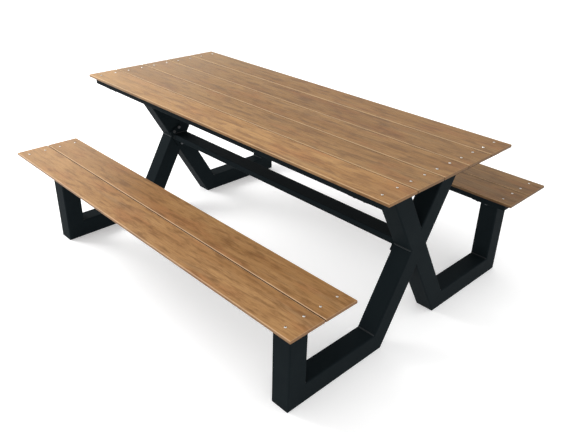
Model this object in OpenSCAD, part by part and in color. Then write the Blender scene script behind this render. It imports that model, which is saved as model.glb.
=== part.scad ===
// Picnic table with two attached benches on crossed steel end frames.
// X runs along the table, Y across it, Z up. The origin is on the floor
// under the middle of the table top.

/* [Overall] */
// Length of the table top and of both benches
board_l = 1880; // [1500:10:2600]
// Height of the table's top face above the floor
table_h = 755; // [680:5:800]
// Height of the bench's top face above the floor
seat_h = 447; // [400:1:480]
// Distance from the table's middle line to the middle of each bench
seat_y = 650; // [600:5:760]

/* [Boards] */
// Width of one board
board_w = 149; // [100:1:180]
// Gap between neighbouring boards
board_gap = 5; // [2:0.5:12]
// Thickness of a board
board_t = 13; // [12:1:30]
// Radius of the board's softened edges
board_r = 2.5; // [0.5:0.5:5]
// Number of boards in the table top
table_boards = 5; // [4:1:6]

/* [Sub-frames] */
// Width of the flat tube, which lies on its wide side
sub_w = 50; // [30:1:60]
// Height of the flat tube
sub_h = 30; // [20:1:50]
// Wall of the flat tube
sub_wall = 2; // [1.5:0.5:4]
// Distance from the board's end to the sub-frame's end
sub_end_inset = 32; // [20:1:80]
// Distance from the table's long edge to its rail
table_side_inset = 18; // [10:1:60]
// Distance from the bench's edge on the table side to its rail
seat_inner_inset = 14; // [3:1:24]
// Distance from the bench's outer edge to its rail
seat_outer_inset = 26; // [3:1:28]
// Number of cross tubes between the two end tubes
mid_tubes = 3; // [1:1:3]

/* [End frames] */
// Width of the square tube
tube_w = 86; // [50:1:100]
// Wall of the square tube
tube_wall = 3; // [2:0.5:5]
// Outer corner radius of the square tube
tube_r = 6; // [4:0.5:8]
// Distance from the board's end to the end frame's outer face
frame_inset = 107; // [60:1:300]
// Angle of the diagonals from the vertical
diag_angle = 30; // [22:0.5:36]
// Height of the crossing's centre above the floor
cross_h = 397; // [340:1:430]
// Thickness of the bars welded over the diagonals and posts
bar_t = 6; // [4:1:10]

/* [Beam] */
// Width of the beam between the end frames
beam_w = 80; // [50:1:90]
// Height of the beam
beam_h = 30; // [20:1:50]
// Wall of the beam
beam_wall = 2.5; // [2:0.5:4]
// Thickness of the flange plate at the beam's end
flange_t = 6; // [4:1:10]
// Length of the flange plate, along the long diagonal
flange_l = 112; // [110:1:160]
// Distance between the flange bolts along the plate
flange_bolt_l = 88; // [76:1:120]
// Distance between the flange bolts across the plate
flange_bolt_w = 36; // [30:1:50]

/* [Fasteners] */
// Distance from the board's end to its row of screws
screw_inset = 57; // [40:1:80]
// Distance between the two screws of a board
screw_spacing = 79; // [50:1:100]
// Diameter of a board screw's head
screw_head_d = 9; // [8:0.5:16]
// Diameter of a board screw's shank
screw_d = 5; // [4:0.5:6]
// Length of a board screw below its head
screw_l = 32; // [20:1:40]
// Diameter of a frame bolt
bolt_d = 10; // [8:1:12]

/* [Hidden] */
$fn = 32;
big = 4000;                      // longer than anything here
wide = 1000;                     // wider than any tube
seat_boards = 2;
board_pitch = board_w + board_gap;
table_w = table_boards * board_pitch - board_gap;
seat_w = seat_boards * board_pitch - board_gap;
sub_x = board_l / 2 - sub_end_inset;         // sub-frame's end
screw_x = board_l / 2 - screw_inset;
mid_pitch = 2 * sub_x / (mid_tubes + 1);
table_sub_z = table_h - board_t - sub_h;     // underside of each sub-frame
seat_sub_z = seat_h - board_t - sub_h;
table_sub_y = table_w / 2 - table_side_inset;
seat_sub_in = -seat_w / 2 + seat_inner_inset;   // measured from the bench's middle, outwards
seat_sub_out = seat_w / 2 - seat_outer_inset;

frame_x = board_l / 2 - frame_inset - tube_w / 2;   // middle of each end frame
leg_top = table_sub_z - bar_t;
post_top = seat_sub_z - bar_t;
diag_w = tube_w / cos(diag_angle);           // a diagonal's width measured level
diag_foot = cross_h * tan(diag_angle);       // its middle line meets the floor here
bar_edge = 10;                               // a bar stops this far behind the rails' faces
table_bolt_y = table_sub_y - sub_w / 2;      // bolts meet the middle of each rail
seat_bolt_in = seat_sub_in + sub_w / 2;
seat_bolt_out = seat_sub_out - sub_w / 2;
flange_w = tube_w - 2;
beam_l = 2 * (frame_x - tube_w / 2 - flange_t);

rim_h = 1;                       // straight rim below a screw head's dome
dome_rise = 2.2;
dome_r = (pow(screw_head_d / 2, 2) + dome_rise * dome_rise) / (2 * dome_rise);
hole_slip = 0.5;                 // a clearance hole is this much wider than its screw
under_d = 4;                     // screws from below
under_head_d = 9;
under_head_h = 2.5;
under_bite = 9;                  // how far they reach into the board
under_shift = 25;                // off the board's middle line, away from the rails
bolt_head_d = 17;
bolt_head_h = 6.5;
bolt_l = 22;
bar_bolt_x = 22;                 // from a bar's middle line to its bolts
wood = [0.66, 0.46, 0.28];
steel_black = [0.13, 0.14, 0.16];
stainless = [0.75, 0.76, 0.77];

ends = ["left", "right"];
sides = ["near", "far"];
function side_sign(side) = side == "near" ? -1 : 1;

table_board_nodes = [for (i = [1:table_boards]) str("table_board_", i)];
seat_board_nodes = [for (s = sides, i = [1:seat_boards]) str(s, "_bench_board_", i)];
table_sub_nodes = [
    for (s = sides) str("table_", s, "_rail"),
    for (e = ends) str("table_", e, "_end_tube"),
    for (i = [1:mid_tubes]) str("table_cross_tube_", i)
];
seat_sub_nodes = [
    for (s = sides) each [
        str(s, "_bench_inner_rail"),
        str(s, "_bench_outer_rail"),
        for (e = ends) str(s, "_bench_", e, "_end_tube"),
        for (i = [1:mid_tubes]) str(s, "_bench_cross_tube_", i)
    ]
];
frame_nodes = [
    for (e = ends) each [
        for (s = sides) each [
            str(e, "_", s, "_post"),
            str(e, "_", s, "_floor_rail"),
            str(e, "_", s, "_seat_bar")
        ],
        str(e, "_long_diagonal"),
        str(e, "_lower_diagonal"),
        str(e, "_upper_diagonal"),
        str(e, "_head_bar")
    ]
];
beam_nodes = ["cross_beam", "left_beam_flange", "right_beam_flange"];
screw_nodes = [
    "table_screws", "near_bench_screws", "far_bench_screws",
    "underside_screws", "flange_bolts", "bar_bolts"
];
NODES = concat(
    table_board_nodes, seat_board_nodes, table_sub_nodes, seat_sub_nodes,
    frame_nodes, beam_nodes, screw_nodes
);
node = "all";

// ---- places -------------------------------------------------------------

// Middle lines of a set of boards
function board_rows(count) = [for (i = [1:count]) (i - (count + 1) / 2) * board_pitch];
// Where the cross tubes lie along the table
function tube_xs() = [for (i = [1:mid_tubes]) -sub_x + i * mid_pitch];
// Where the board at y is screwed from below
function under_y(y) = y - sign(y) * under_shift;
// The two screws of the board whose middle is y
function screw_pair(y) = [y - screw_spacing / 2, y + screw_spacing / 2];
// A bench turned round to the near side swaps its ends
function bench_end(side, end) = side == "far" ? end : end == "left" ? "right" : "left";

// ---- shared shapes ------------------------------------------------------

// Flat rectangle with round corners, centred
module round_rect(w, h, r) {
    square([w - 2 * r, h], center = true);
    square([w, h - 2 * r], center = true);
    for (x = [-1, 1], y = [-1, 1])
        translate([x * (w / 2 - r), y * (h / 2 - r)]) circle(r);
}

// Hollow tube along Z from zero, centred on the axis
module tube_z(w, h, length, wall, r) {
    linear_extrude(length) difference() {
        round_rect(w, h, r);
        round_rect(w - 2 * wall, h - 2 * wall, r - wall * 0.75);
    }
}

// Flat sub-frame tube along X, centred on x = 0, standing on z = 0
module sub_tube_x(length) {
    translate([-length / 2, 0, sub_h / 2]) rotate([90, 0, 90])
        tube_z(sub_w, sub_h, length, sub_wall, sub_wall + 1);
}

// The same along Y
module sub_tube_y(length) {
    rotate([0, 0, 90]) sub_tube_x(length);
}

// Tube along X whose outer face is y = 0 and whose ends are mitred at 45
// degrees, so that four of them close a frame
module mitred_tube(half_l) {
    intersection() {
        translate([0, sub_w / 2, 0]) sub_tube_x(2 * half_l);
        translate([0, 0, -1]) linear_extrude(sub_h + 2) polygon([
            [-half_l - 1, -1],
            [half_l + 1, -1],
            [half_l - sub_w - 1, sub_w + 1],
            [-half_l + sub_w + 1, sub_w + 1]
        ]);
    }
}

// Board lying on z = 0, soft on its four long and four end edges
module board() {
    intersection() {
        translate([-board_l / 2, 0, board_t / 2]) rotate([90, 0, 90])
            linear_extrude(board_l) round_rect(board_w, board_t, board_r);
        translate([0, board_w / 2 + 1, board_t / 2]) rotate([90, 0, 0])
            linear_extrude(board_w + 2) round_rect(board_l, board_t, board_r);
    }
}

// Upright holes of diameter d and height h at each x and y, from z
module holes(xs, ys, z, h, d) {
    for (x = xs, y = ys)
        translate([x, y, z]) cylinder(h = h, d = d);
}

// Domed screw head with its shank, seated on z = 0
module board_screw() {
    cylinder(h = rim_h, d = screw_head_d);
    translate([0, 0, rim_h]) rotate_extrude() intersection() {
        translate([0, dome_rise - dome_r]) circle(dome_r, $fn = 96);
        square([screw_head_d / 2, dome_rise]);
    }
    translate([0, 0, -screw_l]) cylinder(h = screw_l, d = screw_d);
}

// Hexagon head bolt, head above z = 0
module hex_bolt() {
    cylinder(h = bolt_head_h, d = bolt_head_d, $fn = 6);
    translate([0, 0, -bolt_l]) cylinder(h = bolt_l, d = bolt_d);
}

// ---- boards ---------------------------------------------------------------

// The four holes at the ends of the board whose middle is y, underside at z
module end_screw_holes(y, z)
    holes([-screw_x, screw_x], screw_pair(y), z - 1, board_t + 2, screw_d + hole_slip);

module table_board(i) {
    y = board_rows(table_boards)[i - 1];
    color(wood) difference() {
        translate([0, y, table_h - board_t]) board();
        end_screw_holes(y, table_h - board_t);
        holes(tube_xs(), [under_y(y)], table_h - board_t - 1, under_bite + 1, under_d);
    }
}

// Board 1 is the one nearer the table
module bench_board(i) {
    y = board_rows(seat_boards)[i - 1];
    color(wood) difference() {
        translate([0, y, seat_h - board_t]) board();
        end_screw_holes(y, seat_h - board_t);
        holes(tube_xs(), [under_y(y)], seat_h - board_t - 1, under_bite + 1, under_d);
    }
}

// Puts a bench's pieces, made about its own middle line, on one side
module at_bench(side) {
    rotate([0, 0, side == "near" ? 180 : 0]) translate([0, seat_y, 0]) children();
}

// ---- sub-frames -----------------------------------------------------------

// Long rail whose outer face is at y = 0, with holes for the bar bolts
module long_rail() {
    difference() {
        mitred_tube(sub_x);
        holes(bar_bolt_xs(), [sub_w / 2], -1, sub_wall + 2, bolt_d + hole_slip);
    }
}
function bar_bolt_xs() = [for (e = [-1, 1], b = [-1, 1]) e * frame_x + b * bar_bolt_x];

// Drills the board screws of the given rows into the top wall of a tube
// whose underside is at z
module tapped(z, rows) {
    difference() {
        children();
        for (row = rows)
            holes([-screw_x, screw_x], screw_pair(row), z + sub_h - sub_wall - 1, sub_wall + 2, screw_d);
    }
}

// Cross tube along Y between two rails, and its holes for the screws from below
module cross_tube(y_low, y_high, rows) {
    difference() {
        translate([0, (y_low + y_high) / 2, 0]) sub_tube_y(y_high - y_low);
        holes([0], [for (y = rows) under_y(y)], -1, sub_h + 2, under_d + hole_slip);
    }
}

module table_rail(side) {
    color(steel_black) tapped(table_sub_z, board_rows(table_boards))
        translate([0, side_sign(side) * table_sub_y, table_sub_z])
            rotate([0, 0, side == "near" ? 0 : 180]) long_rail();
}

module table_end_tube(end) {
    turn = end == "left" ? -1 : 1;
    color(steel_black) tapped(table_sub_z, board_rows(table_boards))
        translate([turn * sub_x, 0, table_sub_z])
            rotate([0, 0, turn * 90]) mitred_tube(table_sub_y);
}

module table_cross_tube(i) {
    reach = table_sub_y - sub_w;
    color(steel_black) translate([tube_xs()[i - 1], 0, table_sub_z])
        cross_tube(-reach, reach, board_rows(table_boards));
}

module bench_inner_rail() {
    color(steel_black) tapped(seat_sub_z, board_rows(seat_boards))
        translate([0, seat_sub_in, seat_sub_z]) long_rail();
}

module bench_outer_rail() {
    color(steel_black) tapped(seat_sub_z, board_rows(seat_boards))
        translate([0, seat_sub_out, seat_sub_z]) rotate([0, 0, 180]) long_rail();
}

module bench_end_tube(end) {
    turn = end == "left" ? -1 : 1;
    color(steel_black) tapped(seat_sub_z, board_rows(seat_boards))
        translate([turn * sub_x, (seat_sub_in + seat_sub_out) / 2, seat_sub_z])
            rotate([0, 0, turn * 90]) mitred_tube((seat_sub_out - seat_sub_in) / 2);
}

module bench_cross_tube(i) {
    color(steel_black) translate([tube_xs()[i - 1], 0, seat_sub_z])
        cross_tube(seat_sub_in + sub_w, seat_sub_out - sub_w, board_rows(seat_boards));
}

// ---- end frames -----------------------------------------------------------
// Each frame is drawn about x = 0 with its long diagonal running from the far
// floor rail up to the near side. The right frame is the left one turned round.

module at_end(end) {
    rotate([0, 0, end == "left" ? 0 : 180]) translate([-frame_x, 0, 0]) children();
}

// Turns a piece drawn on the frame's own far side to the side asked for
module on_side(end, side) {
    if ((end == "left") == (side == "far")) children();
    else mirror([0, 1, 0]) children();
}

// All that lies to the left of a line in the YZ plane, through the point
// y, z and at an angle from +Y towards +Z
module left_of(y, z, angle) {
    translate([0, y, z]) rotate([angle, 0, 0])
        translate([-wide / 2, -big / 2, 0]) cube([wide, big, big]);
}

// The floor rail meets the post at its outer corner and the diagonal at its
// foot, and both joints are mitred
module post_mitre() left_of(seat_y + tube_w / 2, 0, 135);
module foot_mitre() left_of(diag_foot - diag_w / 2, 0, 45 + diag_angle / 2);

module square_tube(length) tube_z(tube_w, tube_w, length, tube_wall, tube_r);

module post() {
    color(steel_black) difference() {
        translate([0, seat_y, 0]) square_tube(post_top);
        post_mitre();
    }
}

module floor_rail() {
    color(steel_black) difference() {
        intersection() {
            translate([0, 0, tube_w / 2]) rotate([-90, 0, 0]) square_tube(seat_y + tube_w / 2);
            post_mitre();
        }
        foot_mitre();
    }
}

// Square tube through the crossing, leaning towards -Y as it rises
module leaning_tube() {
    translate([0, diag_foot, 0]) rotate([diag_angle, 0, 0]) translate([0, 0, -tube_w])
        square_tube(leg_top / cos(diag_angle) + 2 * tube_w);
}

module long_diagonal() {
    color(steel_black) difference() {
        intersection() {
            leaning_tube();
            foot_mitre();
        }
        left_of(0, leg_top, 0);
        flange_bolt_places() translate([0, 0, -tube_wall - 1])
            cylinder(h = tube_wall + 2, d = bolt_d + hole_slip);
    }
}

// The two halves of the other diagonal butt against the long one
module lower_diagonal() {
    color(steel_black) intersection() {
        mirror([0, 1, 0]) intersection() {
            leaning_tube();
            foot_mitre();
        }
        left_of(-tube_w / 2 * cos(diag_angle), cross_h - tube_w / 2 * sin(diag_angle), 90 + diag_angle);
    }
}

module upper_diagonal() {
    color(steel_black) difference() {
        mirror([0, 1, 0]) leaning_tube();
        left_of(tube_w / 2 * cos(diag_angle), cross_h + tube_w / 2 * sin(diag_angle), 90 + diag_angle);
        left_of(0, leg_top, 0);
    }
}

// Flat bar across the frame from y_low to y_high, drilled at bolt_ys
module drilled_bar(y_low, y_high, z, bolt_ys) {
    color(steel_black) difference() {
        translate([-tube_w / 2, y_low, z]) cube([tube_w, y_high - y_low, bar_t]);
        holes([-bar_bolt_x, bar_bolt_x], bolt_ys, z - 1, bar_t + 2, bolt_d + hole_slip);
    }
}

module head_bar() {
    reach = table_sub_y - bar_edge;
    drilled_bar(-reach, reach, leg_top, [-table_bolt_y, table_bolt_y]);
}

module seat_bar() {
    drilled_bar(seat_y + seat_sub_in + bar_edge, seat_y + seat_sub_out - bar_edge, post_top,
        [seat_y + seat_bolt_in, seat_y + seat_bolt_out]);
}

// ---- beam -----------------------------------------------------------------

module cross_beam() {
    color(steel_black) translate([-beam_l / 2, 0, cross_h]) rotate([90, 0, 90])
        tube_z(beam_w, beam_h, beam_l, beam_wall, beam_wall + 1);
}

// Puts pieces made on the plane z = 0 on the left frame's inner face, with
// their own Y axis along the long diagonal and Z pointing to the beam
module on_inner_face() {
    translate([tube_w / 2, 0, cross_h]) rotate([diag_angle, 0, 0]) rotate([90, 0, 90]) children();
}

module flange_bolt_places() {
    on_inner_face() for (x = [-1, 1], y = [-1, 1])
        translate([x * flange_bolt_w / 2, y * flange_bolt_l / 2, 0]) children();
}

module beam_flange(end) {
    color(steel_black) at_end(end) difference() {
        on_inner_face() linear_extrude(flange_t) round_rect(flange_w, flange_l, tube_r);
        flange_bolt_places() translate([0, 0, -1]) cylinder(h = flange_t + 2, d = bolt_d + hole_slip);
    }
}

// ---- fasteners ------------------------------------------------------------

module table_screws() {
    color(stainless) for (x = [-screw_x, screw_x], row = board_rows(table_boards), y = screw_pair(row))
        translate([x, y, table_h]) board_screw();
}

module bench_screws(side) {
    color(stainless) at_bench(side)
        for (x = [-screw_x, screw_x], row = board_rows(seat_boards), y = screw_pair(row))
            translate([x, y, seat_h]) board_screw();
}

module underside_screw() {
    translate([0, 0, -under_head_h]) cylinder(h = under_head_h, d = under_head_d);
    cylinder(h = sub_h + under_bite, d = under_d);
}

module underside_screws() {
    color(stainless) {
        for (x = tube_xs(), y = board_rows(table_boards))
            translate([x, under_y(y), table_sub_z]) underside_screw();
        for (side = sides) at_bench(side)
            for (x = tube_xs(), y = board_rows(seat_boards))
                translate([x, under_y(y), seat_sub_z]) underside_screw();
    }
}

module flange_bolts() {
    color(stainless) for (end = ends)
        at_end(end) flange_bolt_places() translate([0, 0, flange_t]) hex_bolt();
}

// Bolts up through the head bars and seat bars into the rails
module bar_bolts() {
    color(stainless) for (x = bar_bolt_xs()) {
        for (y = [-table_bolt_y, table_bolt_y])
            translate([x, y, leg_top]) mirror([0, 0, 1]) hex_bolt();
        for (side = sides, y = [seat_bolt_in, seat_bolt_out])
            at_bench(side) translate([x, y, post_top]) mirror([0, 0, 1]) hex_bolt();
    }
}

// ---- nodes ----------------------------------------------------------------

function wanted(name) = node == "all" || node == name;

for (i = [1:table_boards]) if (wanted(str("table_board_", i))) table_board(i);
for (s = sides, i = [1:seat_boards])
    if (wanted(str(s, "_bench_board_", i))) at_bench(s) bench_board(i);

for (s = sides) if (wanted(str("table_", s, "_rail"))) table_rail(s);
for (e = ends) if (wanted(str("table_", e, "_end_tube"))) table_end_tube(e);
for (i = [1:mid_tubes]) if (wanted(str("table_cross_tube_", i))) table_cross_tube(i);

for (s = sides) {
    if (wanted(str(s, "_bench_inner_rail"))) at_bench(s) bench_inner_rail();
    if (wanted(str(s, "_bench_outer_rail"))) at_bench(s) bench_outer_rail();
    for (e = ends)
        if (wanted(str(s, "_bench_", e, "_end_tube"))) at_bench(s) bench_end_tube(bench_end(s, e));
    for (i = [1:mid_tubes])
        if (wanted(str(s, "_bench_cross_tube_", i))) at_bench(s) bench_cross_tube(i);
}

for (e = ends) {
    for (s = sides) {
        if (wanted(str(e, "_", s, "_post"))) at_end(e) on_side(e, s) post();
        if (wanted(str(e, "_", s, "_floor_rail"))) at_end(e) on_side(e, s) floor_rail();
        if (wanted(str(e, "_", s, "_seat_bar"))) at_end(e) on_side(e, s) seat_bar();
    }
    if (wanted(str(e, "_long_diagonal"))) at_end(e) long_diagonal();
    if (wanted(str(e, "_lower_diagonal"))) at_end(e) lower_diagonal();
    if (wanted(str(e, "_upper_diagonal"))) at_end(e) upper_diagonal();
    if (wanted(str(e, "_head_bar"))) at_end(e) head_bar();
}

if (wanted("cross_beam")) cross_beam();
if (wanted("left_beam_flange")) beam_flange("left");
if (wanted("right_beam_flange")) beam_flange("right");

if (wanted("table_screws")) table_screws();
if (wanted("near_bench_screws")) bench_screws("near");
if (wanted("far_bench_screws")) bench_screws("far");
if (wanted("underside_screws")) underside_screws();
if (wanted("flange_bolts")) flange_bolts();
if (wanted("bar_bolts")) bar_bolts();
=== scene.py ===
import math
import random

import bmesh
import bpy
from mathutils import Matrix, Vector


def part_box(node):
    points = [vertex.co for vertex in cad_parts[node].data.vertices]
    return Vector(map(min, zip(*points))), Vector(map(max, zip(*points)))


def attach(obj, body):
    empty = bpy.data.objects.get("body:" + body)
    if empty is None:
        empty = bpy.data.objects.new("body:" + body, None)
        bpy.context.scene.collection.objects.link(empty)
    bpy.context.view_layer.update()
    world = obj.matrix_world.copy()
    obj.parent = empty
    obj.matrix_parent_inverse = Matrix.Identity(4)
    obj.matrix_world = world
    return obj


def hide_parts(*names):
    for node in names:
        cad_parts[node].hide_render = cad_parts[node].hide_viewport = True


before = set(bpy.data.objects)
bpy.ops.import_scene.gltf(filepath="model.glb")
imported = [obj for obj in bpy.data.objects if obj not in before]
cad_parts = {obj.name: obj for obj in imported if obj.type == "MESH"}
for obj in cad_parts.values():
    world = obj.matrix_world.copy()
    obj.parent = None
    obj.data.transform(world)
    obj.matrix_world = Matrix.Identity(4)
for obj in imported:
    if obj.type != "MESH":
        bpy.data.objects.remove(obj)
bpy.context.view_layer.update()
print("frame loaded:", len(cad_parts), "nodes")


class Value:                       # a socket that can be added, multiplied and so on
    def __init__(self, finish, socket):
        self.finish, self.socket = finish, socket

    def maths(self, operation, *others):
        return self.finish.node("ShaderNodeMath", {"operation": operation},
                                dict(enumerate(others)))

    def __add__(self, other):
        return self.maths("ADD", self, other)

    def __sub__(self, other):
        return self.maths("SUBTRACT", self, other)

    def __rsub__(self, other):
        return self.maths("SUBTRACT", other, self)

    def __mul__(self, other):
        return self.maths("MULTIPLY", self, other)

    def __abs__(self):
        return self.maths("ABSOLUTE", self)

    __radd__, __rmul__ = __add__, __mul__

    def above(self, low, high):    # 0 below low, 1 above high, smooth between
        return self.finish.node("ShaderNodeMapRange", {"interpolation_type": "SMOOTHSTEP"},
                                {"Value": self, "From Min": low, "From Max": high})


class Finish:                      # a material and the nodes in it
    def __init__(self, name):
        self.material = bpy.data.materials.new(name)
        self.material.use_nodes = True
        self.tree = self.material.node_tree
        self.shader = self.tree.nodes["Principled BSDF"]

    def node(self, kind, settings=None, inputs=None, output=0):
        made = self.tree.nodes.new(kind)
        for key, value in (settings or {}).items():
            setattr(made, key, value)
        for key, value in (inputs or {}).items():
            self.feed(made.inputs[key], value)
        return Value(self, made.outputs[output])

    def feed(self, socket, value):
        if isinstance(value, Value):
            self.tree.links.new(value.socket, socket)
        elif socket.type == "RGBA":
            socket.default_value = (*value, 1)
        else:
            socket.default_value = value

    def surface(self, **inputs):
        for key, value in inputs.items():
            self.feed(self.shader.inputs[key.replace("_", " ")], value)
        return self.material

    def place(self, offset=(0, 0, 0), turn=(0, 0, 0)):
        where = self.node("ShaderNodeTexCoord", output="Object")
        return self.node("ShaderNodeMapping", None,
                         {"Vector": where, "Location": offset, "Rotation": turn})

    def noise(self, vector, scale, detail=2.0, roughness=0.5, distortion=0.0):
        stretched = self.node("ShaderNodeVectorMath", {"operation": "MULTIPLY"},
                              {0: vector, 1: scale})
        return self.node("ShaderNodeTexNoise", None,
                         {"Vector": stretched, "Scale": 1.0, "Detail": detail,
                          "Roughness": roughness, "Distortion": distortion})

    def mix(self, factor, first, second, blend="MIX"):
        return self.node("ShaderNodeMix", {"data_type": "RGBA", "blend_type": blend},
                         {0: factor, 6: first, 7: second}, 2)

    def bump(self, height, distance):
        return self.node("ShaderNodeBump", None,
                         {"Height": height, "Distance": distance, "Strength": 1.0})

    def axes(self, vector):
        parts = self.node("ShaderNodeSeparateXYZ", None, {0: vector}).socket.node
        return [Value(self, socket) for socket in parts.outputs]


wood = {
    "light": (0.322, 0.180, 0.068),
    "middle": (0.248, 0.127, 0.043),
    "red": (0.275, 0.124, 0.045),
    "dark": (0.105, 0.044, 0.013),
    "grey": (0.200, 0.130, 0.064),
    # painted sheen towards the left end of each board
    "leftSheen": (0.330, 0.222, 0.118),
    # painted highlight for the boards' upper edges
    "pale": (0.640, 0.450, 0.270),
    "endGrain": (0.190, 0.105, 0.045),
    "sideShade": (0.66, 0.70, 0.88),
    "seamShade": (0.24, 0.19, 0.16),    # on the sides that face a neighbour
    "slant": (0.01, 0.035),        # least and most turn of a board's grain, in radians
    "roughness": 0.42, "shine": 0.13, "relief": 0.00035,
    "rings": 260.0, "wander": 14.0,     # growth rings, in radians a metre, and their stray
    "benchTint": (1.02, 1.01, 1.07),    # the near bench is a little less yellow
}
grain = {                          # scale along, across and up, detail, roughness, distortion
    "bend": ((2.2, 9, 9), 2),
    "broad": ((1.6, 11, 11), 3, 0.6, 0.3),
    "patch": ((9.0, 46, 46), 3, 0.6, 0.35),
    "fleck": ((24, 150, 150), 3, 0.6, 0.3),
    "streak": ((4.0, 300, 300), 3, 0.65),
    "fibre": ((26, 900, 900), 2, 0.6),
    "pores": ((75, 1500, 1500), 1, 0.5),
    "grey": ((2.3, 20, 20), 2),
    "red": ((4.5, 15, 15), 2),
}
marks = {                          # where a mark begins, where it is full, and how strong it is
    "broad": (0.30, 0.68, 1.0), "grey": (0.50, 0.72, 0.45), "red": (0.50, 0.70, 0.60),
    "patch": (0.43, 0.70, 0.62), "fleck": (0.47, 0.72, 0.34), "streak": (0.46, 0.76, 0.34),
    "rings": (0.35, 1.0, 0.13), "fibre": (0.42, 0.80, 0.26), "pores": (0.66, 0.78, 0.45),
    "leftSheen": (0.05, 1.0, 0.60),      # painted sheen at the left end, in metres to the left of the middle
}
boardEdge = {                      # pairs are metres in from a board's side, end or top
    # band, amount and amount at the ends of the painted highlight on the upper edges
    "edgeHighlight": (0.0030, 0.0008), "highlightAmount": 0.64, "highlightAtEnds": 0.35,
    "outline": (0.004, 0.003), "outlineLess": 0.30,     # less painted highlight along the outline
    "side": (0.0016, 0.0032), "sawn": (0.0012, 0.0004), "sawnAmount": 0.6,
    "speckle": ((900, 900, 900), 2, 0.7), "speckleRange": (0.35, 0.65),
}
toneAndShade = {                          # boards that are darker or lighter than the rest; the far bench's boards are darker as painted shade from the table over them
    "table_board_1": 1.42, "table_board_2": 1.04, "table_board_3": 1.06,
    "table_board_4": 0.97, "table_board_5": 1.03,
    "near_bench_board_1": 1.25, "near_bench_board_2": 1.30,
    "far_bench_board_1": 0.82, "far_bench_board_2": 0.78,
}


def mark(value, name):             # how strongly a mark shows, from none to its amount
    low, high, amount = marks[name]
    return value.above(low, high) * amount


def makeWood(name, seed, low, high, tone, outer, tint):
    draw = random.Random(seed)
    finish = Finish("wood_" + name)
    slant = draw.uniform(*wood["slant"]) * draw.choice((-1, 1))
    spot = finish.place([draw.uniform(-9, 9) for axis in "xyz"], (0, 0, slant))
    layers = {layer: finish.noise(spot, *shape) for layer, shape in grain.items()}
    bend = layers["bend"] - 0.5
    across = finish.axes(spot)[1]
    layers["rings"] = finish.node("ShaderNodeMath", {"operation": "SINE"}, {
        0: (across + bend * 0.05) * wood["rings"] + bend * wood["wander"]})

    # base tone, then greyer and redder places, darker patches, flecks, streaks and pores
    depth = {layer: mark(layers[layer], layer) for layer in layers if layer != "bend"}
    colour = finish.mix(depth["broad"], wood["middle"], wood["light"])
    for layer in ("grey", "red"):
        colour = finish.mix(depth[layer], colour, wood[layer])
    for layer in ("patch", "fleck", "streak", "rings", "fibre", "pores"):
        colour = finish.mix(depth[layer], colour, wood["dark"])

    # painted highlight on the upper edges, painted shade on the sides and in the seams, and the
    # sawn ends
    real = finish.node("ShaderNodeTexCoord", output="Object")
    along, width, up = finish.axes(real)
    middle, half = (low.y + high.y) / 2, (high.y - low.y) / 2
    begin, full = boardEdge["edgeHighlight"]
    nearSide = abs(width - middle).above(half - begin, half - full)
    nearEnd = abs(along).above(high.x - begin, high.x - full)
    # painted sheen: each board is lighter and paler towards its left end, where the window's
    # light falls
    leftSheen = mark(0.0 - along, "leftSheen")
    colour = finish.mix(leftSheen, colour, finish.mix(0.5, colour, wood["leftSheen"]))
    under = (high.z - up).above(*boardEdge["side"])
    edge = nearSide.maths("MAXIMUM", nearSide, nearEnd * boardEdge["highlightAtEnds"])
    middleOfSet, halfSet = outer
    begin, full = boardEdge["outline"]
    outside = abs(width - middleOfSet).above(halfSet - begin, halfSet - full)
    edgeHighlight = boardEdge["highlightAmount"] - outside * boardEdge["outlineLess"]
    # painted highlight: each board's upper edges are lighter, where the bevels catch the light
    colour = finish.mix(edge * (1 - under) * edgeHighlight, colour, wood["pale"])
    # painted shade: the boards' sides are darker and greyer, darkest in the seams between
    # boards
    outside = outside.maths("MAXIMUM", outside, nearEnd)
    shade = finish.mix(outside, wood["seamShade"], wood["sideShade"])
    colour = finish.mix(under, colour, finish.mix(1.0, colour, shade, "MULTIPLY"))
    begin, full = boardEdge["sawn"]
    ends = abs(along).above(high.x - begin, high.x - full)
    speckle = finish.noise(real, *boardEdge["speckle"]).above(*boardEdge["speckleRange"])
    endColour = finish.mix(speckle, wood["endGrain"], wood["dark"])
    colour = finish.mix(ends * boardEdge["sawnAmount"], colour, endColour)
    # each board's tone, which on the far bench is painted shade, then the bench tint
    colour = finish.mix(1.0, colour, [tone * part for part in tint], "MULTIPLY")

    height = layers["fibre"] * 0.6 + layers["streak"] * 0.8 - depth["pores"] * 1.4
    return finish.surface(
        Base_Color=colour,
        Roughness=wood["roughness"] + layers["fibre"] * 0.14 - depth["patch"] * 0.06,
        Normal=finish.bump(height, wood["relief"]),
        Specular_IOR_Level=wood["shine"])


def outerEdges(name):              # middle and half width of the top that a board is part of
    boxes = [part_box(other) for other in toneAndShade if other[:-1] == name[:-1]]
    low, high = min(box[0].y for box in boxes), max(box[1].y for box in boxes)
    return (low + high) / 2, (high - low) / 2


for count, name in enumerate(sorted(toneAndShade)):
    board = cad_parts[name]
    board.data.materials.clear()
    tint = wood["benchTint"] if name.startswith("near_bench") else (1, 1, 1)
    board.data.materials.append(makeWood(name, 31 + count, *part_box(name), toneAndShade[name],
                                         outerEdges(name), tint))
print("boards finished:", len(toneAndShade))


coat = {
    "colour": (0.0066, 0.0101, 0.0119),
    "dusty": (0.0098, 0.0140, 0.0158), "dust": 0.55,
    "roughness": 0.52, "shine": 0.02,
    "weldRoughness": 0.34, "weldShine": 0.32,    # the coat runs smooth over the beads
    "fine": 1600, "wave": 120, "cloud": 5,       # scales of the three patterns
    "relief": 0.00022,
}


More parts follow.
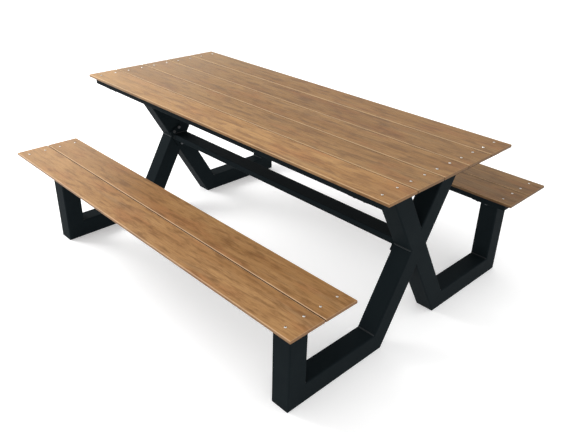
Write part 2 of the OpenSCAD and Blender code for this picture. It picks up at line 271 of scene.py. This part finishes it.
def makeCoat(name, roughness, shine):
    finish = Finish(name)
    spot = finish.place()
    fine = finish.noise(spot, [coat["fine"]] * 3, 2, 0.6)
    wave = finish.noise(spot, [coat["wave"]] * 3, 2, 0.5)
    cloud = finish.noise(spot, [coat["cloud"]] * 3, 3, 0.6)
    dust = cloud.above(0.40, 0.75) * coat["dust"]
    return finish.surface(
        Base_Color=finish.mix(dust, coat["colour"], coat["dusty"]),
        Roughness=roughness + fine * 0.10 + cloud * 0.10,
        Normal=finish.bump(fine * 0.5 + wave, coat["relief"]),
        Specular_IOR_Level=shine)


frameCoat = makeCoat("anthracite_coat", coat["roughness"], coat["shine"])
weldCoat = makeCoat("anthracite_coat_on_welds", coat["weldRoughness"], coat["weldShine"])
steelNames = [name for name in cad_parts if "_board_" not in name
              and not name.endswith(("screws", "bolts"))]
for name in steelNames:
    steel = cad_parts[name]
    steel.data.materials.clear()
    steel.data.materials.append(frameCoat)
print("steel finished:", len(steelNames))


stainless = {
    "name": "stainless_steel", "colour": (0.84, 0.83, 0.80), "smudge": (0.60, 0.59, 0.57),
    "roughness": 0.20,
}
# a dark, dull metal for the bolts
darkBoltMetal = {
    "name": "dark_bolt_metal", "colour": (0.115, 0.120, 0.125), "smudge": (0.060, 0.062, 0.066),
    "roughness": 0.44,
}
metal = {"brushed": (900, 900, 2500), "cloud": (60, 60, 60), "relief": 0.00008}


def makeMetal(look):
    finish = Finish(look["name"])
    spot = finish.place()
    brushed = finish.noise(spot, metal["brushed"], 2, 0.6)
    smudge = finish.noise(spot, metal["cloud"], 2, 0.5)
    return finish.surface(
        Base_Color=finish.mix(smudge * 0.4, look["colour"], look["smudge"]), Metallic=1.0,
        Roughness=look["roughness"] + brushed * 0.14 + smudge * 0.10,
        Normal=finish.bump(brushed, metal["relief"]))


screwSteel, boltSteel = makeMetal(stainless), makeMetal(darkBoltMetal)


def finishPiece(name, bm, material, replaced=None):
    bmesh.ops.recalc_face_normals(bm, faces=bm.faces)
    mesh = bpy.data.meshes.new(name)
    bm.to_mesh(mesh)
    bm.free()
    piece = bpy.data.objects.new(name, mesh)
    bpy.context.scene.collection.objects.link(piece)
    mesh.materials.append(material)
    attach(piece, "root")
    if replaced:
        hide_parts(replaced)
    return piece


boardScrew = {                     # head sizes, in metres
    "radius": 0.0045, "rim": 0.0010, "rise": 0.0022, "sides": 36,
    "lobes": 6, "lobeRadius": 0.0019, "lobeDepth": 0.0004, "drive": 0.0016,
}
underScrew = {
    "radius": 0.0045, "rim": 0.0008, "rise": 0.0017, "sides": 24,
    "lobes": 6, "lobeRadius": 0.0017, "lobeDepth": 0.0003, "drive": 0.0012,
}
domeShape = {                      # shared by the two screws
    "rings": 5, "crown": 1.25,     # the flat crown is this much wider than the recess
    "taper": 0.86,                 # the recess at its bottom
}
hexHead = {"radius": 0.0085, "height": 0.0065, "chamfer": 0.0006}
headSpin = 0.37                    # radians from one head of a group to the next


def growRing(bm, face, shape):
    # extrudes a cap and puts each of its corners where shape says
    grown = bmesh.ops.extrude_face_region(bm, geom=[face])["geom"]
    for vert in (part for part in grown if isinstance(part, bmesh.types.BMVert)):
        angle = math.atan2(vert.co.y, vert.co.x)
        reach, height = shape(angle)
        vert.co = Vector((math.cos(angle) * reach, math.sin(angle) * reach, height))
    return next(part for part in grown if isinstance(part, bmesh.types.BMFace))


def addScrewHead(bm, size):
    # a low dome grown ring by ring from z = 0, with a six-lobed recess in its crown
    ring = bmesh.ops.create_circle(bm, cap_ends=True, segments=size["sides"],
                                   radius=size["radius"])["verts"]
    face = ring[0].link_faces[0]
    crown = size["lobeRadius"] * domeShape["crown"] / size["radius"]
    face = growRing(bm, face, lambda angle: (size["radius"], size["rim"]))
    for step in range(1, domeShape["rings"] + 1):
        reach = 1 - (1 - crown) * step / domeShape["rings"]
        top = size["rim"] + size["rise"] * (1 - reach * reach)
        face = growRing(bm, face, lambda angle: (size["radius"] * reach, top))
    for depth, narrow in ((0.0, 1.0), (size["drive"], domeShape["taper"])):
        face = growRing(bm, face, lambda angle: (
            narrow * (size["lobeRadius"] + size["lobeDepth"] * math.cos(size["lobes"] * angle)),
            top - depth))


def addHexHead(bm, size):
    ring = bmesh.ops.create_circle(bm, cap_ends=True, segments=6,
                                   radius=size["radius"])["verts"]
    face = ring[0].link_faces[0]
    face = growRing(bm, face, lambda angle: (size["radius"], size["height"]))
    edges = {edge for vert in ring for near in vert.link_faces for edge in near.edges}
    bmesh.ops.bevel(bm, geom=list(edges | set(face.edges)), offset=size["chamfer"],
                    segments=2, profile=0.5, affect="EDGES")


def islands(name):
    # low and high corner of the box round each separate fastener in a group node
    bm = bmesh.new()
    bm.from_mesh(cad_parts[name].data)
    bmesh.ops.remove_doubles(bm, verts=bm.verts, dist=1e-6)
    boxes, seen = [], set()
    for start in bm.verts:
        if start in seen:
            continue
        island, todo = [], [start]
        seen.add(start)
        while todo:
            vert = todo.pop()
            island.append(vert.co.copy())
            for edge in vert.link_edges:
                other = edge.other_vert(vert)
                if other not in seen:
                    seen.add(other)
                    todo.append(other)
        boxes.append((Vector(min(p[i] for p in island) for i in range(3)),
                      Vector(max(p[i] for p in island) for i in range(3))))
    bm.free()
    return sorted(boxes, key=lambda box: tuple(round(v, 4) for v in box[0]))


headTurns = {                      # from +Z to the way a head points
    "up": Matrix.Identity(3),
    "down": Matrix.Rotation(math.pi, 3, "X"),
    "towards +X": Matrix.Rotation(math.pi / 2, 3, "Y"),
    "towards -X": Matrix.Rotation(-math.pi / 2, 3, "Y"),
}


def makeHeads(name, material, addHead, size, height, pointing):
    # every head of a group node, each turned a little differently
    bm = bmesh.new()
    for count, (low, high) in enumerate(islands(name)):
        turn = headTurns[pointing(low)]
        out = turn @ Vector((0, 0, 1))
        foot = (low + high) / 2
        for axis in range(3):      # the head's foot lies one height inside the box's end
            if out[axis] > 0.5:
                foot[axis] = high[axis] - height
            elif out[axis] < -0.5:
                foot[axis] = low[axis] + height
        before = set(bm.verts)
        addHead(bm, size)
        fresh = [vert for vert in bm.verts if vert not in before]
        spin = turn @ Matrix.Rotation(count * headSpin, 3, "Z")
        bmesh.ops.rotate(bm, verts=fresh, cent=(0, 0, 0), matrix=spin)
        bmesh.ops.translate(bm, verts=fresh, vec=foot)
    return finishPiece(name + "_detailed", bm, material, name)


def makeScrews(name, size, way):
    piece = makeHeads(name, screwSteel, addScrewHead, size,
                      size["rim"] + size["rise"], lambda low: way)
    piece.data.shade_smooth()


def makeBolts(name, pointing):
    makeHeads(name, boltSteel, addHexHead, hexHead, hexHead["height"], pointing)


for name in ("table_screws", "near_bench_screws", "far_bench_screws"):
    makeScrews(name, boardScrew, "up")
makeScrews("underside_screws", underScrew, "down")
makeBolts("bar_bolts", lambda low: "down")
makeBolts("flange_bolts", lambda low: "towards +X" if low.x < 0 else "towards -X")
print("fasteners made")


endFrame = {                       # sizes of the steel that the welds follow
    "x": 0.790, "half": 0.043, "corner": 0.006,          # half the tube, and its rounding
    "postY": 0.650, "footY": 0.2292, "cross": 0.397, "lean": math.radians(30),
    "head": 0.706, "seat": 0.398,  # undersides of the bars over the legs and posts
}
weld = {
    "pitch": 0.0034,               # from one ripple to the next
    "ripple": 0.16, "bow": 0.0016, "width": 0.0085, "height": 0.0036,
    "seamWidth": 0.008, "seamHeight": 0.00028, "seamSteps": 6,
    "sides": 8, "tip": 0.08,       # the tip keeps a bead's ends from closing to a point
}


def addLoft(bm, rings):
    # closed skin over a row of rings of points
    rows = [[bm.verts.new(point) for point in ring] for ring in rings]
    for first, second in zip(rows, rows[1:]):
        for i in range(len(first)):
            j = (i + 1) % len(first)
            bm.faces.new((first[i], first[j], second[j], second[i]))
    bm.faces.new(rows[0][::-1])
    bm.faces.new(rows[-1])


def addBead(bm, start, end, out, width, height, rippled=True):
    # a weld bead from start to end, proud of the crease in the direction out
    start, end, out = Vector(start), Vector(end), Vector(out).normalized()
    path = end - start
    along = path.normalized()
    side = along.cross(out)
    count = weld["seamSteps"]
    if rippled:                    # two rings to a ripple
        count = 2 * max(2, round(path.length / weld["pitch"]))
    rings = []
    for step in range(count + 1):
        part = step / count
        close = min(part, 1 - part) * path.length / (height + width / 2)
        taper = math.sqrt(max(weld["tip"], 1 - (1 - min(close, 1)) ** 2))
        swell = taper * (1 - weld["ripple"] * (step % 2) if rippled else 1)
        centre = start + path * part
        ring = []
        for i in range(weld["sides"]):
            angle = 2 * math.pi * i / weld["sides"]
            across, high = math.cos(angle) * width / 2, math.sin(angle) * height
            bow = weld["bow"] * math.cos(angle) ** 2 if rippled and 0 < step < count else 0
            ring.append(centre + side * across * swell + out * high * swell - along * bow)
        rings.append(ring)
    addLoft(bm, rings)


def crease(bm, start, end, out):
    addBead(bm, start, end, out, weld["width"], weld["height"])


def seam(bm, start, end, out):
    addBead(bm, start, end, out, weld["seamWidth"], weld["seamHeight"], rippled=False)


def finishWelds(name, bm, flat):   # beads, and the seams ground flush, as two pieces
    finishPiece(name + "_welds", bm, weldCoat)
    finishPiece(name + "_ground_seams", flat, frameCoat)


def makeFrameWelds(name, sign):
    # drawn for the left end frame about its own middle, then turned for the right one
    bm, flat = bmesh.new(), bmesh.new()
    size = endFrame
    half, corner, lean = size["half"], size["corner"], size["lean"]
    level = half / math.cos(lean)          # half of a diagonal's width, measured level
    reach = half - corner * 0.5
    inner, outer = size["postY"] - half, size["postY"] + half      # the post's two sides
    foot = size["footY"] - level
    tip = corner * 0.6                     # the foot mitre's seam ends nearer the edge

    def cross(y, z, outY, outZ):           # a bead straight through the frame, along X
        crease(bm, (-reach, y, z), (reach, y, z), (0, outY, outZ))

    for side in (-1, 1):
        cross(side * size["footY"], 2 * half, side * 0.5, 1)
        cross(side * inner, 2 * half, -side, 1)
        for face in (-1, 1):
            x, out = face * half, (face, 0, 0)
            seam(flat, (x, side * (outer - corner), corner),
                 (x, side * (inner + corner), 2 * half - corner), out)
            seam(flat, (x, side * (foot + tip), corner),
                 (x, side * (size["footY"] - tip), 2 * half - corner), out)
            seam(flat, (x, side * (inner + corner), size["seat"]),
                 (x, side * (outer - corner), size["seat"]), out)
        for y, way in ((inner, -side), (outer, side)):
            cross(side * y, size["seat"], way, -1)
    for y, z in ((level, 0), (-level, 0), (0, 2 * half), (0, -2 * half)):
        cross(y, size["cross"] + z, y, z)
    top = size["footY"] - size["head"] * math.tan(lean)
    for side in (-1, 1):
        middle = side * top
        for way in (-1, 1):
            cross(middle + way * level, size["head"], way, -1)
        for face in (-1, 1):
            seam(flat, (face * half, middle - level + corner, size["head"]),
                 (face * half, middle + level - corner, size["head"]), (face, 0, 0))
    addGroundFills(flat)
    turn = Matrix.Translation((-size["x"], 0, 0))
    if sign > 0:
        turn = Matrix.Rotation(math.pi, 4, "Z") @ turn
    for mesh in (bm, flat):
        bmesh.ops.transform(mesh, verts=mesh.verts, matrix=turn)
    finishWelds(name, bm, flat)


groundFill = {
    "below": 0.00012,              # how far the ground metal lies below the steel's face
    "onto": 0.0006, "back": 0.0066,     # onto the half diagonal, back over the long one
    "depth": 0.001, "steps": 12,
}


def addGroundFills(bm):
    # weld metal ground flush where the halves of one diagonal butt against the other
    half, corner, lean = endFrame["half"], endFrame["corner"], endFrame["lean"]
    along = Vector((0, -math.sin(lean), math.cos(lean)))      # up the long diagonal
    away = Vector((0, math.cos(lean), math.sin(lean)))        # square to it, to its upper side
    slope = math.sin(2 * lean)
    length = 2 * half / slope
    onto, back, steps = groundFill["onto"], -groundFill["back"], groundFill["steps"]
    for way in (-1, 1):
        # the butt's middle: halfway between the crossing's corners on that side
        middle = (Vector((0, way * half / math.cos(lean), endFrame["cross"]))
                  + Vector((0, 0, endFrame["cross"] + way * 2 * half))) / 2
        for face in (-1, 1):
            rings = []
            for step in range(steps + 1):
                place = length * (step / steps - 0.5)
                inset = min(corner, (length / 2 - abs(place)) * slope)
                drop = corner - math.sqrt(corner ** 2 - (corner - inset) ** 2)
                top = face * (half - groundFill["below"] - drop)
                low = face * (half - corner - groundFill["depth"])
                spot = middle + along * place
                ring = []
                for shift, x in ((onto, top), (back, top), (back, low), (onto, low)):
                    point = spot + away * shift * way
                    ring.append((x, point.y, point.z))
                rings.append(ring)
            addLoft(bm, rings)


beam = {                           # "end" is where it meets its flange plates
    "end": 0.741, "halfWidth": 0.040, "halfHeight": 0.015, "corner": 0.0035,
}


def makeBeamWelds():
    bm = bmesh.new()
    width, height, middle = beam["halfWidth"], beam["halfHeight"], endFrame["cross"]
    flatWidth, flatHeight = width - beam["corner"], height - beam["corner"]
    for sign in (-1, 1):
        x = sign * beam["end"]
        for way in (-1, 1):
            z, y = middle + way * height, way * width
            crease(bm, (x, -flatWidth, z), (x, flatWidth, z), (-sign, 0, way))
            crease(bm, (x, y, middle - flatHeight), (x, y, middle + flatHeight),
                   (-sign, way, 0))
    finishPiece("beam_welds", bm, weldCoat)


subframe = {
    "short": 0.003,                # beads stop short of the tube's rounded corners
    "lift": 0.0008,                # the lower beads start inside the tube's rounding
}


def makeSubframeWelds(name, rails, ends, tubes):
    # inner corners, cross-tube ends and the seams underneath, read from the nodes' boxes
    bm, flat = bmesh.new(), bmesh.new()
    boxes = sorted((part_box(rail) for rail in rails), key=lambda box: box[0].y)
    width = boxes[0][1].y - boxes[0][0].y
    low, high = boxes[0][0].z, boxes[0][1].z
    insideY = (boxes[0][1].y, boxes[1][0].y)
    caps = sorted((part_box(end) for end in ends), key=lambda box: box[0].x)
    insideX = (caps[0][1].x, caps[1][0].x)
    short, under = subframe["short"], low + subframe["lift"]
    mitre = width - short
    for x, wayX in zip(insideX, (1, -1)):
        for y, wayY in zip(insideY, (1, -1)):
            crease(bm, (x, y, low + short), (x, y, high - short), (wayX, wayY, 0))
            seam(flat, (x, y, low), (x - wayX * mitre, y - wayY * mitre, low), (0, 0, -1))
    for tube in tubes:
        first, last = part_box(tube)
        for y, wayY in zip(insideY, (1, -1)):
            for x, wayX in ((first.x, -1), (last.x, 1)):
                crease(bm, (x, y, low + short), (x, y, high - short), (wayX, wayY, 0))
            crease(bm, (first.x + short, y, under), (last.x - short, y, under),
                   (0, wayY * 0.5, -1))
    finishWelds(name, bm, flat)


makeFrameWelds("left_frame", -1)
makeFrameWelds("right_frame", 1)
makeBeamWelds()
tubeNumbers = [str(number) for number in (1, 2, 3)]
makeSubframeWelds("table_subframe", ("table_near_rail", "table_far_rail"),
                  ("table_left_end_tube", "table_right_end_tube"),
                  ["table_cross_tube_" + number for number in tubeNumbers])
for bench in ("near_bench", "far_bench"):
    makeSubframeWelds(bench + "_subframe",
                      (bench + "_inner_rail", bench + "_outer_rail"),
                      (bench + "_left_end_tube", bench + "_right_end_tube"),
                      [bench + "_cross_tube_" + number for number in tubeNumbers])
print("welds made")


camera = {
    "spot": (1.941, -1.820, 1.634),
    "azimuth": 45.14, "down": 28.40, "roll": 1.64,       # degrees
    "lens": 38.88, "sensor": 36.0, "farthest": 100,
}


def setCamera():
    data = bpy.data.cameras.new("camera")
    data.lens, data.sensor_width = camera["lens"], camera["sensor"]
    data.clip_end = camera["farthest"]
    shown = bpy.data.objects.new("camera", data)
    bpy.context.scene.collection.objects.link(shown)
    turn = (Matrix.Rotation(math.radians(camera["azimuth"]), 4, "Z")
            @ Matrix.Rotation(math.radians(90 - camera["down"]), 4, "X")
            @ Matrix.Rotation(math.radians(camera["roll"]), 4, "Z"))
    shown.matrix_world = Matrix.Translation(camera["spot"]) @ turn
    bpy.context.scene.camera = shown


studio = {
    "floorHalf": 40.0, "floor": (0.92, 0.92, 0.92), "world": 1.08,
    "floorGlow": 0.28,             # keeps the shadows pale
    "window": {"spot": (-3.1, -1.7, 2.25), "aim": (-0.3, 0, 0.5), "size": (1.5, 1.15),
               "watts": 92},
    "doorway": {"spot": (-3.3, 0.9, 1.5), "aim": (-0.9, -0.2, 0.6), "size": (2.0, 1.2),
                "watts": 7},
}


def setStudio():
    bm = bmesh.new()
    bmesh.ops.create_grid(bm, x_segments=4, y_segments=4, size=studio["floorHalf"])
    mesh = bpy.data.meshes.new("studio_floor")
    bm.to_mesh(mesh)
    bm.free()
    floor = bpy.data.objects.new("studio_floor", mesh)
    bpy.context.scene.collection.objects.link(floor)
    mesh.materials.append(Finish("pale_floor").surface(
        Base_Color=studio["floor"], Roughness=0.9, Specular_IOR_Level=0.1,
        Emission_Color=(1, 1, 1), Emission_Strength=studio["floorGlow"]))
    world = bpy.data.worlds.new("studio")
    bpy.context.scene.world = world
    world.use_nodes = True
    background = world.node_tree.nodes["Background"]
    background.inputs["Color"].default_value = (1, 1, 1, 1)
    background.inputs["Strength"].default_value = studio["world"]


def addPanel(name, spot, aim, size, watts):
    data = bpy.data.lights.new(name, "AREA")
    data.shape = "RECTANGLE"
    data.size, data.size_y = size
    data.energy = watts
    lamp = bpy.data.objects.new(name, data)
    bpy.context.scene.collection.objects.link(lamp)
    look = (Vector(aim) - Vector(spot)).to_track_quat("-Z", "Y")
    lamp.matrix_world = Matrix.Translation(spot) @ look.to_matrix().to_4x4()


setCamera()
setStudio()
for name in ("window", "doorway"):
    addPanel(name, **studio[name])
bpy.context.scene.view_settings.view_transform = "Standard"
print("stage set")
